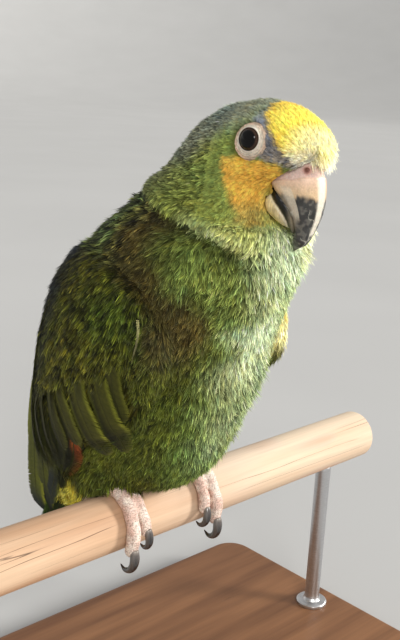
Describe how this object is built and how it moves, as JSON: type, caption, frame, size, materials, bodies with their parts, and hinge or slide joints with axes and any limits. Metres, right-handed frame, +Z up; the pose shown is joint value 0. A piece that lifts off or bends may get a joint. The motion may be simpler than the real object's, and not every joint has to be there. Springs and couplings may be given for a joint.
{
  "type": "parrot display model",
  "caption": "Life-size green amazon parrot gripping a short round perch, held by two rods on a flat wooden base; a still display model with no moving parts.",
  "frame": {"origin": "on the underside of the base, straight below the middle of the perch", "axes": "+Z up; the bird faces -Y and its left side is +X; the perch runs along X"},
  "size_m": [0.296, 0.1635, 0.2947],
  "materials": {
    "head_feathers": "matte",
    "body_feathers": "matte",
    "wing_feathers": "matte",
    "tail_feathers": "matte",
    "bill_horn": "satin",
    "eye": "gloss",
    "foot_scales": "matte",
    "claw_horn": "satin",
    "perch_wood": "satin",
    "stand_wood": "satin",
    "stand_steel": "satin"
  },
  "bodies": {
    "root": {"head": "head_feathers", "neck": "head_feathers", "trunk": "body_feathers", "leg_left": "body_feathers", "leg_right": "body_feathers", "wing_left": "wing_feathers", "wing_right": "wing_feathers", "tail": "tail_feathers", "bill_upper": "bill_horn", "bill_lower": "bill_horn", "eye_left": "eye", "eye_right": "eye", "foot_left": "foot_scales", "foot_right": "foot_scales", "claw_outer_front_left": "claw_horn", "claw_outer_front_right": "claw_horn", "claw_inner_front_left": "claw_horn", "claw_inner_front_right": "claw_horn", "claw_outer_back_left": "claw_horn", "claw_outer_back_right": "claw_horn", "claw_inner_back_left": "claw_horn", "claw_inner_back_right": "claw_horn", "perch": "perch_wood", "stand_base": "stand_wood", "stand_rod_left": "stand_steel", "stand_rod_right": "stand_steel"}
  },
  "joints": []
}
